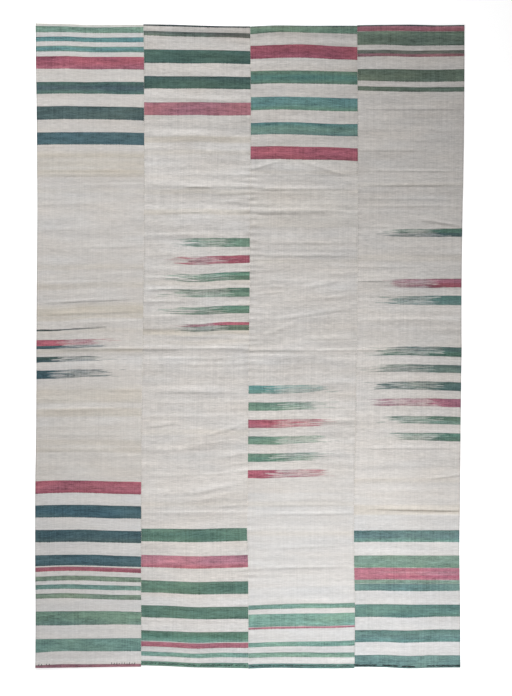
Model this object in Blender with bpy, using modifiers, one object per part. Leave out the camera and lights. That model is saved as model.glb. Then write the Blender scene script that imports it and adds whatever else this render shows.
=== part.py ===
# Persian kilim: four handwoven wool strips, laid side by side and sewn edge to edge.
# Metres, +Z up. The rug lies flat, +Y is its length, and z = 0 is the floor under it.
# Each strip is one sheet with its two ends turned under as hems.

import bisect
import math

import bpy
import numpy as np

upper_line = 1.5075           # the nominal end lines, which put the middle of the rug's reach at y = 0
lower_line = -1.5125
strip_width = 0.500           # of one woven strip
strip_count = 4
cloth_thickness = 0.0024      # weft-faced wool weave
strip_gap = 0.0003            # between neighbouring strips, and between a hem's two layers
hem_depth = 0.016             # cloth turned under at each end
hem_slope = 0.030             # length over which the cloth climbs onto its hem
fold_steps = 4                # faces round the turn of a hem

columns_across = 8            # faces across one strip
row_pitch = 0.080             # between cross rows in the open cloth
open_cloth_end = 1.440        # the last common cross row, measured from the middle

# Where the long edges wander, in millimetres to the right of the straight lines
# at -1.0, -0.5, 0, 0.5 and 1.0 m. A row is one place along the rug, from the middle.
edge_columns = ("along", "left", "seam_1_2", "seam_2_3", "seam_3_4", "right")
edge_table = (
    (1.508, -7, 0, 2, 5, 9),
    (1.348, -6, 3, 3, 6, 9),
    (1.160, -3, 3, 5, 7, 8),
    (0.878, 0, 4, 3, 8, 5),
    (0.643, 1, 3, 1, 8, 0),
    (0.220, -2, 0, -1, 6, -5),
    (-0.015, -3, -3, -4, 2, -5),
    (-0.368, -4, -9, -8, -4, -9),
    (-0.720, -9, -10, -11, -10, -12),
    (-0.861, -9, -10, -13, -11, -14),
    (-1.026, -9, -11, -8, -10, -14),
    (-1.219, -7, -11, -7, -6, -11),
    (-1.510, -8, -11, -7, -8, -10),
)

# How far each strip's ends reach past the nominal end lines, in millimetres,
# at five even places from its left edge to its right edge.
end_table = {
    "panel_1": {"upper": (9, 6, 2, 2, 3), "lower": (1, 0, -1, -4, -5)},
    "panel_2": {"upper": (5, 3, -1, -4, -5), "lower": (-11, -7, -2, 0, 3)},
    "panel_3": {"upper": (-6, -1, -2, -2, -2), "lower": (4, 0, 2, 3, 2)},
    "panel_4": {"upper": (-1, 1, 2, -1, 1), "lower": (-3, -2, 4, 1, 0)},
}

# Soft folds that lift the cloth off the floor. Each is a low ridge: its middle, its heading
# in degrees from +X, its half length, its half width and its height, all but the heading in metres.
fold_columns = ("across", "along", "heading", "half_length", "half_width", "height")
fold_table = (
    (-0.05, -0.015, -0.6, 1.45, 0.100, 0.0050),   # middle crease, where the rug was folded in two
    (0.27, 0.855, 4.0, 0.36, 0.095, 0.0040),      # arched fold high on the third strip
    (-0.22, 0.760, -2.0, 0.34, 0.090, 0.0035),    # below the second strip's upper stripes
    (-0.18, 0.600, 5.0, 0.36, 0.085, 0.0030),
    (0.30, 0.620, -2.0, 0.34, 0.085, 0.0032),
    (0.27, 0.190, 14.0, 0.36, 0.090, 0.0030),     # slanting ripples beside the middle crease
    (0.33, -0.340, 6.0, 0.36, 0.090, 0.0030),
    (-0.25, -0.420, 9.0, 0.38, 0.090, 0.0034),
    (-0.24, -0.690, 9.0, 0.38, 0.090, 0.0030),
    (-0.75, 0.820, 0.0, 0.34, 0.085, 0.0026),
    (-0.76, -0.280, 2.0, 0.34, 0.085, 0.0026),
    (0.76, -0.790, 1.0, 0.36, 0.090, 0.0032),     # sharp line low on the fourth strip
    (0.78, -0.500, 1.0, 0.32, 0.085, 0.0026),
    (0.76, 0.760, -1.0, 0.34, 0.085, 0.0026),
)

strip_colours = {
    "panel_1": (0.46, 0.48, 0.43),
    "panel_2": (0.50, 0.49, 0.45),
    "panel_3": (0.48, 0.49, 0.45),
    "panel_4": (0.47, 0.46, 0.43),
}
wool_roughness = 0.93

mm = 0.001


def clear_scene():
    for obj in list(bpy.data.objects):
        bpy.data.objects.remove(obj, do_unlink=True)


def smooth_step(t):
    """0 to 1 with level ends."""
    t = min(max(t, 0.0), 1.0)
    return t * t * (3.0 - 2.0 * t)


def smooth_value(stations, values, place):
    """A smooth curve through a table's values, level past its two ends."""
    place = min(max(place, stations[0]), stations[-1])
    first = min(bisect.bisect_right(stations, place) - 1, len(stations) - 2)
    span = stations[first + 1] - stations[first]
    slopes = np.gradient(np.array(values, dtype=float), np.array(stations, dtype=float))
    t = (place - stations[first]) / span
    start = values[first] * (1 + 2 * t) * (1 - t) ** 2 + slopes[first] * span * t * (1 - t) ** 2
    finish = values[first + 1] * t * t * (3 - 2 * t) - slopes[first + 1] * span * t * t * (1 - t)
    return float(start + finish)


def edge_line(edge, along):
    """The x of long edge 0 to 4, counted from the left, at a place along the rug."""
    rows = [dict(zip(edge_columns, row)) for row in reversed(edge_table)]
    stations = [row["along"] for row in rows]
    wander = [row[edge_columns[1 + edge]] for row in rows]
    straight = (edge - strip_count / 2) * strip_width
    return straight + smooth_value(stations, wander, along) * mm


def end_reach(name, side, share):
    """How far an end goes past its nominal line at a share 0 to 1 of the strip's width, in metres."""
    reach = end_table[name][side]
    stations = [place / (len(reach) - 1) for place in range(len(reach))]
    return smooth_value(stations, reach, share) * mm


def fold_lift(x, y):
    """How far the folds lift the cloth at a point: zero on the flat ground between them."""
    lift = 0.0
    for row in fold_table:
        fold = dict(zip(fold_columns, row))
        heading = math.radians(fold["heading"])
        dx = x - fold["across"]
        dy = y - fold["along"]
        run = abs(dx * math.cos(heading) + dy * math.sin(heading)) / fold["half_length"]
        off = abs(dy * math.cos(heading) - dx * math.sin(heading)) / fold["half_width"]
        if run < 1.0 and off < 1.0:
            crest = 0.5 + 0.5 * math.cos(math.pi * off)
            fade = 1.0 - smooth_step((run - 0.6) / 0.4)
            lift = max(lift, fold["height"] * crest * fade)
    return lift


def hem_rows(end_y, inward):
    """One hem's cross section, from the open cloth to its turned-under edge, as (y, z) pairs.

    end_y is the outermost line of the cloth, and inward is -1 or 1 along Y.
    """
    low = cloth_thickness / 2
    high = low + cloth_thickness + strip_gap
    turn_radius = (high - low) / 2
    turn_y = end_y + inward * (turn_radius + cloth_thickness / 2)
    rows = [
        (end_y + inward * (hem_depth + hem_slope), low),
        (end_y + inward * (hem_depth + hem_slope / 2), (low + high) / 2),
        (end_y + inward * hem_depth, high),
    ]
    for step in range(fold_steps + 1):
        angle = math.pi * step / fold_steps
        rows.append((
            turn_y - inward * turn_radius * math.sin(angle),
            (low + high) / 2 + turn_radius * math.cos(angle),
        ))
    rows.append((end_y + inward * hem_depth, low))
    return rows


def strip_rows(name, share):
    """The whole length of a strip at one share of its width, as (y, z) pairs of its mid surface."""
    upper_end = upper_line + end_reach(name, "upper", share)
    lower_end = lower_line - end_reach(name, "lower", share)
    open_steps = round(2 * open_cloth_end / row_pitch)
    open_rows = [
        (-open_cloth_end + step * row_pitch, cloth_thickness / 2)
        for step in range(open_steps + 1)
    ]
    lower_rows = hem_rows(lower_end, 1)[::-1]
    return lower_rows + open_rows + hem_rows(upper_end, -1)


def strip_points(name, number):
    """The grid of a strip's mid surface, row by row from its lower end."""
    sides = (number, number + 1)
    columns = []
    for column in range(columns_across + 1):
        share = column / columns_across
        line = []
        for y, z in strip_rows(name, share):
            left = edge_line(sides[0], y) + strip_gap / 2
            right = edge_line(sides[1], y) - strip_gap / 2
            x = left + (right - left) * share
            line.append((x, y, z + fold_lift(x, y)))
        columns.append(line)
    return [point for row in zip(*columns) for point in row]


def wool_material(name):
    material = bpy.data.materials.new(name + "_wool")
    material.use_nodes = True
    shader = material.node_tree.nodes["Principled BSDF"]
    shader.inputs["Base Color"].default_value = (*strip_colours[name], 1.0)
    shader.inputs["Roughness"].default_value = wool_roughness
    shader.inputs["Metallic"].default_value = 0.0
    material.diffuse_color = (*strip_colours[name], 1.0)
    return material


def make_strip(name, number, collection):
    """One woven strip: its mid surface as a grid, thickened to the cloth's thickness."""
    points = strip_points(name, number)
    row_length = columns_across + 1
    row_count = len(points) // row_length
    faces = []
    for row in range(row_count - 1):
        for column in range(columns_across):
            corner = row * row_length + column
            faces.append((corner, corner + 1, corner + row_length + 1, corner + row_length))
    mesh = bpy.data.meshes.new(name)
    mesh.from_pydata(points, [], faces)
    mesh.materials.append(wool_material(name))
    strip = bpy.data.objects.new(name, mesh)
    collection.objects.link(strip)
    thicken = strip.modifiers.new("cloth_thickness", "SOLIDIFY")
    thicken.thickness = cloth_thickness
    thicken.offset = 0.0
    thicken.use_even_offset = False
    mesh.shade_smooth()
    mesh.set_sharp_from_angle(angle=math.radians(40))
    return strip


def build_kilim():
    clear_scene()
    collection = bpy.data.collections.new("persian_kilim")
    bpy.context.scene.collection.children.link(collection)
    for number in range(strip_count):
        make_strip(f"panel_{number + 1}", number, collection)


build_kilim()
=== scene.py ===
import math

import bpy
import numpy as np
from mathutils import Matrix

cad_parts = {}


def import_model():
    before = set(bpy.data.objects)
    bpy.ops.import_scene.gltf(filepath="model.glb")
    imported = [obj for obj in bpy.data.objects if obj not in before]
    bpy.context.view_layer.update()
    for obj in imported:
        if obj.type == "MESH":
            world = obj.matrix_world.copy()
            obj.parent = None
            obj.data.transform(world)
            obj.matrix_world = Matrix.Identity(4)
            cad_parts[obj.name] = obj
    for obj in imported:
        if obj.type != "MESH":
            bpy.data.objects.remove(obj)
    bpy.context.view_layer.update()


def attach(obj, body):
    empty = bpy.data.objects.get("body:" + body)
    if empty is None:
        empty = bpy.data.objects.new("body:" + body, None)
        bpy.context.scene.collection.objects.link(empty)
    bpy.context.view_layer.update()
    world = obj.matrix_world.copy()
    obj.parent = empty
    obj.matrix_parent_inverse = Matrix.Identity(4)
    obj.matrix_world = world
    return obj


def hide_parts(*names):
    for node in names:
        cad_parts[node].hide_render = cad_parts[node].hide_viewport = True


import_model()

# A Persian kilim: four handwoven wool strips sewn edge to edge, lying flat, seen from straight above.
# Metres. Places along the rug are either metres from its middle (up is +Y),
# or millimetres below the upper end line, where a pattern is listed.

mm = 0.001

# sizes shared by every strip, the same as in the construction
cloth = {
    "upperLine": 1.5075,      # nominal end lines
    "lowerLine": -1.5125,
    "stripWidth": 0.500,
    "thickness": 0.0024,
    "gap": 0.0003,            # between neighbours, and between a hem's two layers
    "hemDepth": 0.016,
    "hemSlope": 0.030,
    "rowPitch": 0.003,        # faces along the cloth
    "columns": 32,            # faces across one strip, besides the rounded edges
    "edgeRows": (0.0005, 0.0013, 0.0026),   # where the rounded edges have their lines
    "edgeBody": (0.50, 0.82, 0.95, 1.0),    # thickness there, as a share
}

# where the long edges wander, in millimetres to the right of the straight lines
# along, left edge, seam 1-2, seam 2-3, seam 3-4, right edge
edgeTable = (
    (1.508, -7, 0, 2, 5, 9),
    (1.348, -6, 3, 3, 6, 9),
    (1.160, -3, 3, 5, 7, 8),
    (0.878, 0, 4, 3, 8, 5),
    (0.643, 1, 3, 1, 8, 0),
    (0.220, -2, 0, -1, 6, -5),
    (-0.015, -3, -3, -4, 2, -5),
    (-0.368, -4, -9, -8, -4, -9),
    (-0.720, -9, -10, -11, -10, -12),
    (-0.861, -9, -10, -13, -11, -14),
    (-1.026, -9, -11, -8, -10, -14),
    (-1.219, -7, -11, -7, -6, -11),
    (-1.510, -8, -11, -7, -8, -10),
)

# wool colours in even light, as red, green and blue from 0 to 255
dyes = {
    "undyed": (198, 194, 190),
    "undyedLight": (212, 209, 206),
    "chalk": (200, 202, 204),
    "fog": (186, 189, 192),
    "oat": (203, 193, 174),
    "ash": (152, 150, 146),
    "cream": (203, 202, 192),
    "tan": (184, 173, 150),
    "sage": (122, 150, 136),
    "sea": (109, 139, 131),
    "teal": (102, 138, 137),
    "tealDeep": (97, 130, 127),
    "aqua": (115, 148, 138),
    "moss": (117, 135, 121),
    "leaf": (111, 137, 122),
    "fern": (95, 120, 107),
    "olive": (104, 118, 106),
    "pine": (88, 116, 105),
    "forest": (79, 105, 99),
    "forestDeep": (73, 97, 91),
    "spruce": (84, 106, 103),
    "slate": (82, 101, 102),
    "indigo": (77, 101, 108),
    "indigoDeep": (71, 93, 99),
    "charcoal": (99, 109, 104),
    "ink": (72, 80, 80),
    "madder": (157, 93, 106),
    "madderDeep": (150, 88, 101),
    "madderSoft": (153, 99, 112),
    "rose": (158, 109, 119),
    "pink": (168, 118, 130),
    "pinkLight": (174, 121, 133),
    "rosewood": (143, 106, 114),
    "wine": (139, 89, 101),
    "mauve": (150, 103, 119),
    "inkGreen": (69, 88, 87),
    "lichen": (101, 119, 114),
    "reed": (109, 132, 124),
    "tealBright": (107, 150, 147),
    "tealGrey": (100, 127, 124),
    "tealDark": (92, 124, 119),
    "sageGrey": (119, 142, 130),
    "emerald": (101, 133, 118),
    "umber": (110, 114, 108),
    "oliveDeep": (99, 113, 101),
    "indigoNight": (67, 89, 95),
    "black": (38, 44, 46),
    "lagoon": (93, 132, 134),
    "slateBlue": (76, 93, 99),
    "pineSoft": (87, 114, 108),
    "slateDeep": (78, 96, 97),
    "indigoBright": (72, 99, 109),
    "coral": (161, 101, 111),
    "jade": (88, 122, 108),
    "viridian": (85, 121, 116),
    "garnet": (141, 86, 98),
    "tealMist": (95, 118, 119),
    "rosePink": (162, 109, 122),
    "tealMoss": (92, 122, 116),
    "tealCool": (87, 125, 126),
}


def linearColour(name):
    # screen values to the linear ones that shaders use
    values = [value / 255 for value in dyes[name]]
    line = [value / 12.92 if value <= 0.04045 else ((value + 0.055) / 1.055) ** 2.4 for value in values]
    return (*line, 1.0)


def addObject(name, data):
    obj = bpy.data.objects.new(name, data)
    bpy.context.scene.collection.objects.link(obj)
    return obj


# shapes: smooth curves through the tables, folds and creases

def smoothCurve(stations, values, places):
    # a smooth line through each column of a table, level past its two ends
    stations = np.asarray(stations, dtype=float)
    values = np.asarray(values, dtype=float)
    places = np.clip(places, stations[0], stations[-1])
    first = np.clip(np.searchsorted(stations, places, side="right") - 1, 0, len(stations) - 2)
    span = stations[first + 1] - stations[first]
    t = (places - stations[first]) / span
    slopes = np.gradient(values, stations, axis=0)
    if values.ndim > 1:
        span = span[..., None]
        t = t[..., None]
    start = values[first] * (1 + 2 * t) * (1 - t) ** 2 + slopes[first] * span * t * (1 - t) ** 2
    finish = values[first + 1] * t * t * (3 - 2 * t) - slopes[first + 1] * span * t * t * (1 - t)
    return start + finish


def smoothStep(t):
    t = np.clip(t, 0.0, 1.0)
    return t * t * (3.0 - 2.0 * t)


def edgeLine(edge, along):
    # x of long edge 0 to 4, counted from the left
    rows = edgeTable[::-1]
    wander = smoothCurve([row[0] for row in rows], [row[1 + edge] for row in rows], along)
    return (edge - 2) * cloth["stripWidth"] + wander * mm


folds = {
    # soft folds that lift the cloth: across, along, heading in degrees, half length, half width, height
    "soft": (
        (-0.05, -0.015, -0.6, 1.45, 0.100, 0.0050),
        (0.27, 0.855, 4.0, 0.36, 0.095, 0.0040),
        (-0.22, 0.760, -2.0, 0.34, 0.090, 0.0035),
        (-0.18, 0.600, 5.0, 0.36, 0.085, 0.0030),
        (0.30, 0.620, -2.0, 0.34, 0.085, 0.0032),
        (0.27, 0.190, 14.0, 0.36, 0.090, 0.0030),
        (0.33, -0.340, 6.0, 0.36, 0.090, 0.0030),
        (-0.25, -0.420, 9.0, 0.38, 0.090, 0.0034),
        (-0.24, -0.690, 9.0, 0.38, 0.090, 0.0030),
        (-0.75, 0.820, 0.0, 0.34, 0.085, 0.0026),
        (-0.76, -0.280, 2.0, 0.34, 0.085, 0.0026),
        (0.76, -0.790, 1.0, 0.36, 0.090, 0.0032),
        (0.78, -0.500, 1.0, 0.32, 0.085, 0.0026),
        (0.76, 0.760, -1.0, 0.34, 0.085, 0.0026),
    ),
    # finer creases on top of them, all in millimetres: across from the middle, crest below the
    # upper line, heading in degrees, half length, width of the upper flank, of the lower flank, height
    "fine": (
        # first strip
        (-750, 682, 0, 300, 25, 10, 1.2), (-750, 706, 0, 300, 20, 8, 1.1), (-640, 750, 1, 190, 12, 25, 1.4),
        (-860, 842, 1, 200, 18, 10, 1.1), (-900, 962, 2, 120, 25, 10, 1.2),
        (-640, 1042, 1, 200, 20, 10, 1.1), (-850, 1208, 1, 220, 10, 30, 1.2),
        (-590, 1165, 2, 110, 10, 25, 1.2), (-750, 1296, 2.3, 260, 16, 5, 2.3),
        (-750, 1353, 1.8, 290, 20, 9, 1.6), (-670, 1394, 1.5, 220, 10, 30, 1.5),
        (-590, 1521, 0.2, 130, 14, 6, 2.6), (-860, 1521, -0.4, 170, 40, 7, 2.0),
        (-590, 1716, 0, 110, 25, 10, 1.5), (-910, 1758, 0, 110, 20, 9, 1.2),
        (-830, 1806, 1, 250, 14, 16, 1.6), (-750, 1927, 0, 290, 18, 9, 0.8),
        (-830, 1998, 0, 250, 20, 9, 1.2), (-590, 2026, 0, 110, 10, 20, 1.1),
        # second strip
        (-248, 520, -1.8, 290, 34, 30, 4.1), (-248, 757, -0.8, 280, 18, 12, 1.2),
        (-240, 762, 0, 75, 14, 6, 2.6), (-88, 792, 2, 110, 12, 9, 1.2), (-88, 828, 3, 110, 10, 25, 1.8),
        (-320, 880, 2, 210, 20, 10, 1.8), (-320, 912, 2, 210, 10, 25, 1.6),
        (-330, 983, 1, 200, 12, 25, 1.6), (-408, 1080, 2, 105, 22, 10, 1.8),
        (-408, 1145, 1, 105, 14, 40, 1.6), (-408, 1188, -2, 105, 14, 9, 1.8),
        (-408, 1240, 3, 110, 13, 14, 2.6), (-400, 1298, 0, 120, 12, 12, 1.9),
        (-408, 1369, 0, 105, 12, 25, 1.6), (-408, 1424, 2, 120, 22, 10, 1.9),
        (-248, 1466, -1, 290, 20, 10, 1.6), (-150, 1516, 0.2, 190, 6, 16, 2.7),
        (-420, 1523, -0.3, 130, 25, 6, 2.6), (-248, 1567, 0, 290, 12, 30, 1.4),
        (-170, 1597, 0.5, 200, 20, 10, 1.5), (-248, 1722, 0, 290, 30, 16, 2.7),
        (-330, 1773, 0, 200, 12, 14, 1.2), (-248, 1836, 0, 290, 14, 30, 1.9),
        (-408, 1880, 8, 105, 22, 9, 2.0), (-115, 1902, 18, 120, 14, 12, 3.0),
        (-248, 1932, 8, 105, 18, 14, 1.2), (-170, 1962, 6, 190, 12, 25, 1.8),
        (-248, 1990, 3, 280, 20, 12, 1.2), (-88, 2026, 12, 120, 18, 9, 1.6),
        (-88, 2068, 10, 110, 12, 9, 1.4), (-95, 2101, 8, 120, 10, 20, 1.5),
        (-300, 2115, 2, 240, 18, 9, 1.5), (-150, 2176, 12, 180, 22, 14, 2.4),
        (-170, 2216, 12, 180, 14, 25, 1.6), (-88, 2260, 5, 110, 15, 9, 1.9),
        (-248, 2290, 0, 290, 10, 30, 2.0),
        # third strip, the first two rows an arch
        (80, 657, 16, 90, 14, 10, 2.4), (340, 672, -18, 165, 12, 14, 2.4), (250, 770, 0, 290, 18, 9, 2.0),
        (90, 773, 0, 105, 18, 9, 1.5), (200, 872, 0.5, 260, 20, 22, 4.1), (90, 884, 1, 105, 25, 10, 1.6),
        (250, 946, 0, 290, 20, 10, 0.9), (250, 1024, 0, 290, 22, 10, 1.5), (280, 1085, 0, 280, 20, 8, 2.0),
        (90, 1118, 0, 105, 10, 20, 1.4), (412, 1166, 3, 105, 10, 25, 1.4),
        (170, 1199, -1, 200, 10, 25, 1.4), (320, 1222, 13, 170, 22, 16, 2.6),
        (412, 1274, 10, 110, 10, 20, 1.6), (90, 1232, 4, 105, 12, 25, 1.4), (90, 1259, 6, 105, 14, 9, 1.4),
        (300, 1358, 8, 220, 25, 10, 2.2), (140, 1428, 21, 140, 18, 22, 2.8),
        (370, 1474, 1, 170, 25, 10, 2.2), (400, 1526, 0, 130, 6, 12, 2.7),
        (170, 1528, -0.3, 200, 30, 6, 3.2), (150, 1553, -0.3, 200, 7, 30, 1.9),
        (412, 1570, 0, 105, 10, 25, 1.2), (90, 1625, 0, 105, 22, 9, 1.6), (412, 1682, 2, 105, 20, 9, 1.4),
        (412, 1795, 2, 110, 22, 9, 2.2), (412, 1862, 1, 115, 20, 16, 3.0), (412, 1998, 0, 105, 18, 9, 1.1),
        (250, 2256, 0.5, 290, 18, 8, 1.9), (250, 2296, 0.5, 290, 12, 14, 2.0),
        (200, 2366, 0, 230, 15, 9, 0.9), (250, 2454, 2, 200, 15, 9, 1.1), (250, 2549, 1, 290, 12, 9, 1.8),
        (250, 2624, 0, 290, 10, 25, 1.1),
        # fourth strip
        (750, 395, 0, 290, 20, 6, 1.2), (640, 590, 0, 240, 15, 6, 1.2), (750, 686, -0.5, 290, 18, 6, 1.5),
        (750, 753, 0.5, 290, 18, 7, 1.6), (750, 818, 0, 290, 15, 7, 1.1), (750, 851, 0, 290, 15, 7, 1.2),
        (600, 948, 0, 110, 15, 8, 1.4), (890, 928, -10, 120, 14, 7, 3.0), (640, 1137, 0, 200, 15, 8, 1.2),
        (580, 1203, 0.5, 95, 18, 5, 2.7), (600, 1274, 0, 110, 15, 8, 1.2), (750, 1384, 0, 290, 15, 9, 1.1),
        (570, 1528, 0, 100, 18, 6, 2.3), (750, 1912, 0, 290, 15, 8, 0.8), (750, 1990, 0.3, 290, 18, 6, 1.8),
        (925, 2123, 8, 100, 14, 6, 2.6), (600, 2133, 0, 105, 15, 8, 1.1), (750, 2233, 0, 290, 12, 14, 0.9),
        (800, 2278, -1, 250, 22, 6, 3.5), (850, 2302, -1, 200, 8, 25, 1.6),
    ),
    # puckers beside the middle seam: from, to, how far they reach, pitch, height
    "puckers": (
        (-0.160, 0.860, 0.040, 0.031, 0.0026),
        (-0.900, -0.780, 0.040, 0.034, 0.0024),
        (-1.120, -1.010, 0.040, 0.030, 0.0020),
    ),
    # all-over unevenness: seed, wave length, height
    "uneven": ((11, 0.130, 0.0040), (12, 0.048, 0.0020)),
    "outerCalm": 0.35,      # how much lower it is on the outer strips
    "outerStarts": 0.45,    # from the middle of the rug
    "outerFade": 0.10,
    "lowerCalm": 0.30,      # and towards the lower end
    "lowerStarts": -0.55,
    "lowerFade": 0.3,
    "puckerFade": 0.03,
}


def ridge(x, y, row, flat=0.6):
    across, along, heading, halfLength, upperWidth, lowerWidth, height = row
    turn = math.radians(heading)
    dx = x - across
    dy = y - along
    run = np.abs(dx * math.cos(turn) + dy * math.sin(turn)) / halfLength
    off = dy * math.cos(turn) - dx * math.sin(turn)
    off = np.abs(off) / np.where(off > 0, upperWidth, lowerWidth)
    crest = 0.5 + 0.5 * np.cos(math.pi * np.clip(off, 0, 1))
    return height * crest * (1.0 - smoothStep((run - flat) / (1.0 - flat)))


def waves(x, y, seed, pitch, count=7):
    # a low uneven surface from 0 to 1, made of a few sine waves
    draw = np.random.default_rng(seed)
    total = np.zeros_like(x)
    for number in range(count):
        angle = draw.normal(math.pi / 2, 0.5)
        length = pitch * draw.uniform(0.6, 1.9)
        along = x * math.cos(angle) + y * math.sin(angle)
        total += np.sin(2 * math.pi * along / length + draw.uniform(0, 2 * math.pi))
    return 0.5 + 0.5 * total / count


def clothLift(x, y):
    # how far the folds, creases and puckers lift the cloth at each point
    lift = np.zeros_like(x)
    for *place, halfWidth, height in folds["soft"]:
        lift = np.maximum(lift, ridge(x, y, (*place, halfWidth, halfWidth, height)))
    for across, down, heading, *sizes in folds["fine"]:
        sizes = [size * mm for size in sizes]
        lift = lift + ridge(x, y, (across * mm, cloth["upperLine"] - down * mm, heading, *sizes), flat=0.3)
    seam = edgeLine(2, y)
    for start, end, reach, pitch, height in folds["puckers"]:
        inside = smoothStep((y - start) / folds["puckerFade"]) * smoothStep((end - y) / folds["puckerFade"])
        near = np.exp(-np.abs(x - seam) / reach)
        swing = 2 * math.pi * y / pitch + 1.9 * np.sin(y * 17.0) + 5 * (x - seam) * np.sin(y * 9.0)
        lift = lift + height * inside * near * (0.5 + 0.5 * np.sin(swing))
    outer = smoothStep((np.abs(x) - folds["outerStarts"]) / folds["outerFade"])
    lower = smoothStep((folds["lowerStarts"] - y) / folds["lowerFade"])
    loose = (1.0 - folds["outerCalm"] * outer) * (1.0 - folds["lowerCalm"] * lower)
    for seed, length, height in folds["uneven"]:
        lift = lift + height * loose * waves(x, y, seed, length)
    return lift


def hemProfile():
    # from the open cloth over the hem and back under it:
    # inset of the mid surface, its height, place in the cloth
    low = cloth["thickness"] / 2
    high = low + cloth["thickness"] + cloth["gap"]
    turnRadius = (high - low) / 2
    turnInset = turnRadius + cloth["thickness"] / 2
    rows = []
    for step in range(6):
        t = step / 6
        inset = cloth["hemDepth"] + cloth["hemSlope"] * (1 - t)
        rows.append((inset, low + (high - low) * float(smoothStep(t)), inset))
    for step in range(5):
        inset = cloth["hemDepth"] + (turnInset - cloth["hemDepth"]) * step / 4
        rows.append((inset, high, inset))
    for step in range(1, 9):
        angle = math.pi * step / 8
        rows.append((
            turnInset - turnRadius * math.sin(angle),
            (low + high) / 2 + turnRadius * math.cos(angle),
            turnInset - turnRadius * angle,
        ))
    for step in range(1, 4):
        back = (cloth["hemDepth"] - turnInset) * step / 3
        rows.append((turnInset + back, low, turnInset - turnRadius * math.pi - back))
    return rows


def panelRows(panel):
    # (place in the plane, mid height, place in the cloth) for every cross row, lower end first
    top, low = panel["topEnd"], panel["lowEnd"]
    upper = [(top - inset, height, top - spot) for inset, height, spot in hemProfile()]
    lower = [(low + inset, height, low + spot) for inset, height, spot in hemProfile()]
    first = lower[0][0]
    last = upper[0][0]
    steps = round((last - first) / cloth["rowPitch"])
    middle = [(first + (last - first) * step / steps, cloth["thickness"] / 2) for step in range(1, steps)]
    return lower[::-1] + [(place, height, place) for place, height in middle] + upper


def panelShares():
    # even columns, with three closer lines inside each long edge to round it
    width = cloth["stripWidth"]
    near = [0.0] + [inset / width for inset in cloth["edgeRows"]]
    even = np.linspace(near[-1], 1 - near[-1], cloth["columns"] + 1)[1:-1]
    return np.array(near + list(even) + [1 - share for share in near[::-1]])


def clothPoint(panel, share, place):
    # where a point of the cloth lies in the plane
    rows = sorted(panel["sag"])
    quarters = smoothCurve([row[0] for row in rows], [row[1:] for row in rows], place)
    stations = np.linspace(0, 1, 5)
    sag = np.array([smoothCurve(stations, row, share) for row in quarters])
    y = place[:, None] + sag * mm
    left = edgeLine(panel["number"], y) + cloth["gap"] / 2
    right = edgeLine(panel["number"] + 1, y) - cloth["gap"] / 2
    return left + (right - left) * share[None, :], y


def makePanel(name, panel):
    share = panelShares()
    rows = np.array(panelRows(panel))
    x, y = clothPoint(panel, share, rows[:, 0])
    z = rows[:, 1][:, None] + clothLift(x, y)
    points = np.stack([x, y, z], axis=-1).reshape(-1, 3)
    count = len(share)
    corner = (np.arange(len(rows) - 1)[:, None] * count + np.arange(count - 1)[None, :]).ravel()
    faces = np.stack([corner, corner + 1, corner + count + 1, corner + count], axis=-1)
    mesh = bpy.data.meshes.new(name)
    mesh.from_pydata(points.tolist(), [], faces.tolist())

    place = np.zeros((len(rows), count, 3))
    place[:, :, 0] = share[None, :] * cloth["stripWidth"]
    place[:, :, 1] = cloth["upperLine"] - rows[:, 2][:, None]
    spot = mesh.attributes.new("clothPlace", "FLOAT_VECTOR", "POINT")
    spot.data.foreach_set("vector", place.astype(np.float32).ravel())

    obj = addObject(name, mesh)
    body = obj.vertex_groups.new(name="body")
    edges = len(cloth["edgeRows"]) + 1
    for column in range(count):
        fromEdge = min(column, count - 1 - column)
        weight = cloth["edgeBody"][min(fromEdge, edges - 1)]
        body.add(list(range(column, len(points), count)), weight, "REPLACE")
    thicken = obj.modifiers.new("clothThickness", "SOLIDIFY")
    thicken.thickness = cloth["thickness"]
    thicken.offset = 0.0
    thicken.use_even_offset = False
    thicken.vertex_group = "body"
    mesh.shade_smooth()
    return obj


# shader helpers; each finds its tree by the sockets that it is given

def treeOf(*values):
    return next(value.id_data for value in values if isinstance(value, bpy.types.NodeSocket))


def feed(socket, value):
    if isinstance(value, bpy.types.NodeSocket):
        socket.id_data.links.new(value, socket)
    else:
        socket.default_value = value


def addNode(tree, kind, inputs, **settings):
    # inputs go by name or number
    node = tree.nodes.new(kind)
    for key, value in settings.items():
        setattr(node, key, value)
    for key, value in inputs.items():
        feed(node.inputs[key], value)
    return node


def calc(operation, *values, clamp=False):
    settings = {"operation": operation, "use_clamp": clamp}
    return addNode(treeOf(*values), "ShaderNodeMath", dict(enumerate(values)), **settings).outputs[0]


def plus(first, second):
    return calc("ADD", first, second)


def minus(first, second):
    return calc("SUBTRACT", first, second)


def times(first, second, clamp=False):
    return calc("MULTIPLY", first, second, clamp=clamp)


def over(first, second):
    return calc("DIVIDE", first, second)


def timesPlus(first, second, added):
    return calc("MULTIPLY_ADD", first, second, added)


def mapValue(value, low, high, toLow=0.0, toHigh=1.0, kind="SMOOTHSTEP"):
    inputs = {"Value": value, "From Min": low, "From Max": high, "To Min": toLow, "To Max": toHigh}
    return addNode(treeOf(value), "ShaderNodeMapRange", inputs, interpolation_type=kind).outputs[0]


def before(value, limit, soft):
    # 1 under the limit and 0 past it
    return mapValue(value, plus(limit, soft), minus(limit, soft))


def after(value, limit, soft):
    return mapValue(value, minus(limit, soft), plus(limit, soft))


def blendColour(amount, first, second, kind="MIX"):
    tree = treeOf(amount, first, second)
    inputs = {0: amount, 6: first, 7: second}
    return addNode(tree, "ShaderNodeMix", inputs, data_type="RGBA", blend_type=kind).outputs[2]


def scaleColour(colour, factor):
    inputs = {0: colour, "Scale": factor}
    return addNode(treeOf(colour), "ShaderNodeVectorMath", inputs, operation="SCALE").outputs[0]


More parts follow.
